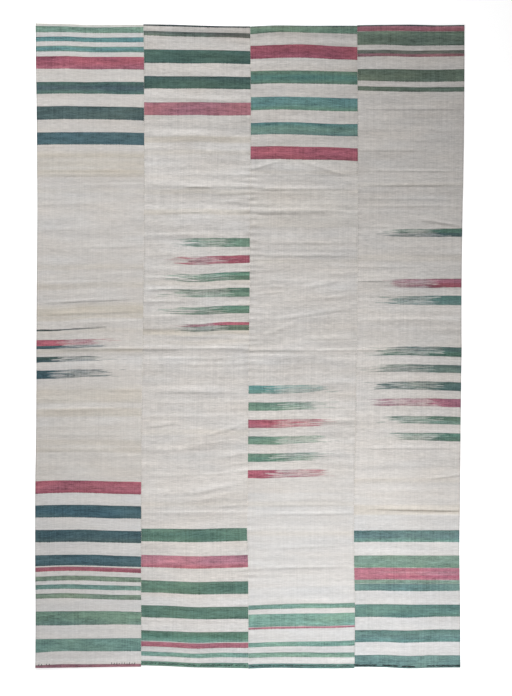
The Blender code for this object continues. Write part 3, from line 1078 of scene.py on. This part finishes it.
def buildStitchTree():
    # small bent threads set along a line, each turned, sized and left out a little at random
    labels = "Geometry, Pitch, Span, Thread, Arch, Turn, Turn Spread, Slide, Kept, Seed, Material"
    tree, given, result = newTree("stitchRow", "GeometryNodeTree", labels, "Geometry")
    span, thickness, arch, slide, spread = (
        given[label] for label in ("Span", "Thread", "Arch", "Slide", "Turn Spread"))

    def node(kind, inputs, **settings):
        return addNode(tree, "GeometryNode" + kind, inputs, **settings).outputs[0]

    def chance(low, high, offset):
        # a random value for each stitch; inputs 2 and 3 and output 1 are the plain numbers
        inputs = {2: low, 3: high, "Seed": plus(given["Seed"], offset)}
        return addNode(tree, "FunctionNodeRandomValue", inputs, data_type="FLOAT").outputs[1]

    path = node("MeshToCurve", {"Mesh": given["Geometry"]})
    path = node("ResampleCurve", {"Curve": path, "Length": given["Pitch"]}, mode="LENGTH")
    # one thread: an arch along X whose feet sit in the cloth
    foot = times(thickness, -0.6)
    bend = node("CurvePrimitiveBezierSegment", {
        "Resolution": 5,
        "Start": joinVector(times(span, -0.5), 0.0, foot),
        "Start Handle": joinVector(times(span, -0.25), 0.0, arch),
        "End Handle": joinVector(times(span, 0.25), 0.0, arch),
        "End": joinVector(times(span, 0.5), 0.0, foot),
    })
    ring = node("CurvePrimitiveCircle", {"Resolution": 5, "Radius": times(thickness, 0.5)})
    thread = node("CurveToMesh", {"Curve": bend, "Profile Curve": ring, "Fill Caps": True})
    # each place along the path
    points = node("CurveToPoints", {"Curve": path}, mode="EVALUATED")
    slideBack = times(slide, -1.0)
    shift = joinVector(chance(slideBack, slide, 3), chance(slideBack, slide, 4))
    points = node("SetPosition", {"Geometry": points, "Offset": shift})
    inputs = {0: chance(0.0, 1.0, 5), 1: given["Kept"]}
    keep = addNode(tree, "FunctionNodeCompare", inputs, data_type="FLOAT", operation="LESS_THAN").outputs[0]
    turn = plus(given["Turn"], chance(times(spread, -1.0), spread, 1))
    stitches = node("InstanceOnPoints", {
        "Points": points,
        "Selection": keep,
        "Instance": thread,
        "Rotation": joinVector(0.0, 0.0, turn),
        "Scale": joinVector(chance(0.75, 1.2, 2), 1.0, 1.0),
    })
    stitches = node("RealizeInstances", {"Geometry": stitches})
    stitches = node("SetShadeSmooth", {"Geometry": stitches})
    stitches = node("SetMaterial", {"Geometry": stitches, "Material": given["Material"]})
    feed(result["Geometry"], stitches)
    arrange(tree)
    return tree


stitchTree = buildStitchTree()


def sewAlong(name, runs, settings, material):
    # threads along a line through each run of points
    points = []
    edges = []
    for run in runs:
        edges += [(len(points) + number, len(points) + number + 1) for number in range(len(run) - 1)]
        points += [tuple(point) for point in run]
    mesh = bpy.data.meshes.new(name + "Path")
    mesh.from_pydata(points, edges, [])
    path = addObject(name + "Path", mesh)
    sewing = path.modifiers.new("sewing", "NODES")
    sewing.node_group = stitchTree
    items = stitchTree.interface.items_tree
    sockets = {item.name: item.identifier for item in items if item.in_out == "INPUT"}
    for label, value in settings.items():
        sewing[sockets[label]] = value
    sewing[sockets["Material"]] = material
    bpy.context.view_layer.update()
    ready = path.evaluated_get(bpy.context.evaluated_depsgraph_get())
    mesh = bpy.data.meshes.new_from_object(ready)
    bpy.data.objects.remove(path, do_unlink=True)
    mesh.name = name
    return addObject(name, mesh)


def threadMaterial(name, dye, second, share):
    # two-ply sewing yarn, some stitches lighter than others
    material, tree, shader = newMaterial(name, roughness=0.9, specular=0.15)
    place = addNode(tree, "ShaderNodeTexCoord", {}).outputs["Object"]
    patches = addNode(tree, "ShaderNodeTexNoise", {"Vector": place, "Scale": 95.0, "Detail": 1.0}).outputs[0]
    mask = mapValue(patches, share - 0.06, share + 0.06)
    feed(shader["Base Color"], blendColour(mask, linearColour(dye), linearColour(second)))
    ply = addNode(tree, "ShaderNodeTexWave", {"Vector": place, "Scale": 420.0, "Distortion": 2.0})
    addRelief(shader, ply.outputs["Fac"], strength=0.5, depth=0.0002)
    arrange(tree)
    return material


stitchSink = 0.0004     # how deep the stitches sit in the cloth
seamInset = 0.045       # the hems' thicker cloth starts here
seamStep = 0.004        # points of the line that a seam follows
seamSewing = {
    "Pitch": 0.0088, "Span": 0.0072, "Thread": 0.0010, "Arch": 0.0009, "Turn": 0.30, "Turn Spread": 0.30,
    "Slide": 0.0008, "Kept": 0.94,
}
seamPieces = []
seamThread = threadMaterial("seamThread", "oat", "ash", 0.52)
for seam in (1, 2, 3):
    y = np.arange(cloth["lowerLine"] + seamInset, cloth["upperLine"] - seamInset, seamStep)
    x = edgeLine(seam, y)
    z = cloth["thickness"] + clothLift(x, y) - stitchSink
    runs = [np.stack([x, y, z], axis=-1)]
    settings = {**seamSewing, "Seed": 20 + seam}
    seamPieces.append(sewAlong(f"seamStitches{seam}", runs, settings, seamThread))
print("seams sewn:", len(seamPieces))

# the lower hems: yarn, distance from the end, the shares of the width that are sewn, and the stitches
hemSewing = {
    "stripOne": {
        "yarn": "ink", "inset": 0.0165, "reaches": ((0.01, 0.13), (0.70, 0.985)),
        "Pitch": 0.0115, "Span": 0.0110, "Thread": 0.0034, "Turn": 1.35, "Turn Spread": 0.35, "Kept": 0.80},
    "stripTwo": {
        "yarn": "inkGreen", "inset": 0.0125, "reaches": ((0.015, 0.985),),
        "Pitch": 0.0085, "Span": 0.0130, "Thread": 0.0036, "Turn": 0.35, "Turn Spread": 0.90, "Kept": 0.74},
    "stripThree": {
        "yarn": "ink", "inset": 0.0120, "reaches": ((0.015, 0.985),),
        "Pitch": 0.0080, "Span": 0.0130, "Thread": 0.0036, "Turn": 0.05, "Turn Spread": 0.35, "Kept": 0.84},
    "stripFour": {
        "yarn": "black", "inset": 0.0095,
        "reaches": ((0.01, 0.20), (0.27, 0.40), (0.46, 0.56), (0.68, 0.985)),
        "Pitch": 0.0060, "Span": 0.0150, "Thread": 0.0052, "Turn": 0.03, "Turn Spread": 0.22, "Kept": 0.90},
}
hemTop = 2 * cloth["thickness"] + cloth["gap"]
hemPieces = {}
for number, (name, panel) in enumerate(panels.items()):
    settings = {**hemSewing[name], "Arch": 0.0014, "Slide": 0.0012, "Seed": 40 + number}
    place = np.array([panel["lowEnd"] + settings.pop("inset")])
    runs = []
    for start, end in settings.pop("reaches"):
        x, y = clothPoint(panel, np.linspace(start, end, 60), place)
        runs.append(np.stack([x[0], y[0], hemTop + clothLift(x[0], y[0]) - stitchSink], axis=-1))
    yarn = threadMaterial(name + "HemThread", settings.pop("yarn"), "black", 0.5)
    hemPieces[name] = sewAlong(name + "HemStitches", runs, settings, yarn)
print("lower hems sewn:", len(hemPieces))


# what each piece stands for, and the body it rides on
for number, (name, piece) in enumerate(zip(panels, panelPieces), start=1):
    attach(piece, "root")
    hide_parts(f"panel_{number}")
    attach(hemPieces[name], "root")
for number, piece in enumerate(seamPieces, start=1):
    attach(piece, "root")


# studio: pale floor, soft light, camera straight above
studio = {
    "cameraHeight": 9.0,
    "lens": 99.0,
    "sensor": 36.0,
    "sightEnds": 100.0,
    "aim": (0.0291, -0.0100),
    "world": 0.05,
    "floorHalf": 30.0,
    "floorHeight": -0.0005,
    "floorGlow": 0.45,
    "sunHeight": 20.0,        # degrees above the floor, from the upper end
    "sunStrength": 3.03,
    "sunSize": 25.0,          # degrees
    "lampHeight": 1.5,
    "lampSize": 1.0,
    # x, y and watts of the soft lamps
    "lamps": (
        (-1.5, 1.5, 9.6), (-1.5, -1.6, 2.5), (1.4, -1.5, 11.6), (0.1, -0.4, 9.6), (-0.3, 1.6, 8.9),
        (0.3, -1.9, 14.3), (-1.6, 0.0, 3.5),
    ),
}


def makeFloor():
    half, height = studio["floorHalf"], studio["floorHeight"]
    mesh = bpy.data.meshes.new("studioFloor")
    corners = [(x * half, y * half, height) for x, y in ((-1, -1), (1, -1), (1, 1), (-1, 1))]
    mesh.from_pydata(corners, [], [(0, 1, 2, 3)])
    material, _, shader = newMaterial("studioWhite", roughness=1.0, specular=0.0)
    shader["Base Color"].default_value = (0.9, 0.9, 0.9, 1.0)
    shader["Emission Color"].default_value = (1.0, 1.0, 1.0, 1.0)
    shader["Emission Strength"].default_value = studio["floorGlow"]
    mesh.materials.append(material)
    floor = addObject("studioFloor", mesh)


def makeLights():
    world = bpy.data.worlds.new("studioWorld")
    world.use_nodes = True
    sky = world.node_tree.nodes["Background"].inputs
    sky["Color"].default_value = (1.0, 1.0, 1.0, 1.0)
    sky["Strength"].default_value = studio["world"]
    bpy.context.scene.world = world
    sun = bpy.data.lights.new("studioSun", "SUN")
    sun.energy = studio["sunStrength"]
    sun.angle = math.radians(studio["sunSize"])
    addObject("studioSun", sun).rotation_euler = (math.radians(studio["sunHeight"] - 90), 0.0, 0.0)
    for number, (x, y, watts) in enumerate(studio["lamps"]):
        lamp = bpy.data.lights.new(f"softLamp{number}", "AREA")
        lamp.shape = "SQUARE"
        lamp.size = studio["lampSize"]
        lamp.energy = watts
        lampObject = addObject(f"softLamp{number}", lamp)
        lampObject.location = (x, y, studio["lampHeight"])
        lampObject.visible_camera = False


def makeCamera():
    camera = bpy.data.cameras.new("photoCamera")
    camera.type = "PERSP"
    camera.lens = studio["lens"]
    camera.sensor_width = studio["sensor"]
    camera.clip_end = studio["sightEnds"]
    cameraObject = addObject("photoCamera", camera)
    cameraObject.location = (*studio["aim"], studio["cameraHeight"])
    bpy.context.scene.camera = cameraObject


makeFloor()
makeLights()
makeCamera()
bpy.context.scene.view_settings.view_transform = "Standard"
print("studio ready")
